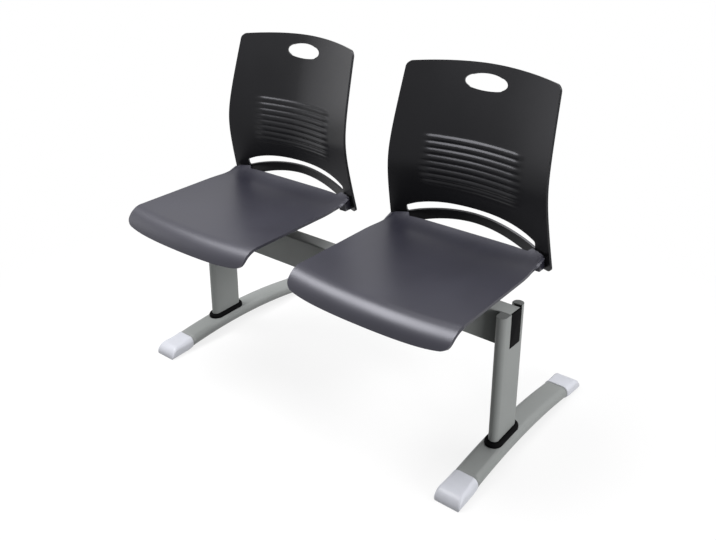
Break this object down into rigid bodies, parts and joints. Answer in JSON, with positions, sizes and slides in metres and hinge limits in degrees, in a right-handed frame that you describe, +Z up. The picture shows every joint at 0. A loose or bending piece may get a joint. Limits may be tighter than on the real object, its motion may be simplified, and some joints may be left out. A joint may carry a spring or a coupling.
{
  "type": "waiting room chair",
  "caption": "Beam bench for a waiting room: plastic seat shells and slotted backs on a steel beam with flat-oval posts and arched feet.",
  "frame": {"origin": "on the floor under the middle of the bench's outline", "axes": "+X along the beam, +Z up, the seats face -Y"},
  "size_m": [0.9502, 0.6142, 0.8118],
  "materials": {
    "silver_powder_coat": "satin silver-grey powder coat",
    "charcoal_plastic": "satin moulded polypropylene",
    "black_shell_plastic": "satin moulded polypropylene",
    "pale_grey_plastic": "smooth moulded plastic",
    "black_plastic": "matt moulded plastic",
    "zinc_plated_steel": "zinc plated"
  },
  "bodies": {
    "root": {"back_left": "black_shell_plastic", "back_right": "black_shell_plastic", "back_screw_inner_high_left": "zinc_plated_steel", "back_screw_inner_high_right": "zinc_plated_steel", "back_screw_inner_low_left": "zinc_plated_steel", "back_screw_inner_low_right": "zinc_plated_steel", "back_screw_outer_high_left": "zinc_plated_steel", "back_screw_outer_high_right": "zinc_plated_steel", "back_screw_outer_low_left": "zinc_plated_steel", "back_screw_outer_low_right": "zinc_plated_steel", "beam": "silver_powder_coat", "beam_plug_left": "black_plastic", "beam_plug_right": "black_plastic", "collar_left": "black_plastic", "collar_right": "black_plastic", "foot_left": "silver_powder_coat", "foot_right": "silver_powder_coat", "post_left": "silver_powder_coat", "post_right": "silver_powder_coat", "rail_inner_left": "zinc_plated_steel", "rail_inner_right": "zinc_plated_steel", "rail_outer_left": "zinc_plated_steel", "rail_outer_right": "zinc_plated_steel", "saddle_bolt_left_a": "zinc_plated_steel", "saddle_bolt_left_b": "zinc_plated_steel", "saddle_bolt_right_a": "zinc_plated_steel", "saddle_bolt_right_b": "zinc_plated_steel", "saddle_left": "zinc_plated_steel", "saddle_nut_left_a": "zinc_plated_steel", "saddle_nut_left_b": "zinc_plated_steel", "saddle_nut_right_a": "zinc_plated_steel", "saddle_nut_right_b": "zinc_plated_steel", "saddle_right": "zinc_plated_steel", "seat_left": "charcoal_plastic", "seat_right": "charcoal_plastic", "seat_screw_inner_front_left": "zinc_plated_steel", "seat_screw_inner_front_right": "zinc_plated_steel", "seat_screw_inner_rear_left": "zinc_plated_steel", "seat_screw_inner_rear_right": "zinc_plated_steel", "seat_screw_outer_front_left": "zinc_plated_steel", "seat_screw_outer_front_right": "zinc_plated_steel", "seat_screw_outer_rear_left": "zinc_plated_steel", "seat_screw_outer_rear_right": "zinc_plated_steel", "shoe_front_left": "pale_grey_plastic", "shoe_front_right": "pale_grey_plastic", "shoe_rear_left": "pale_grey_plastic", "shoe_rear_right": "pale_grey_plastic"}
  },
  "joints": []
}
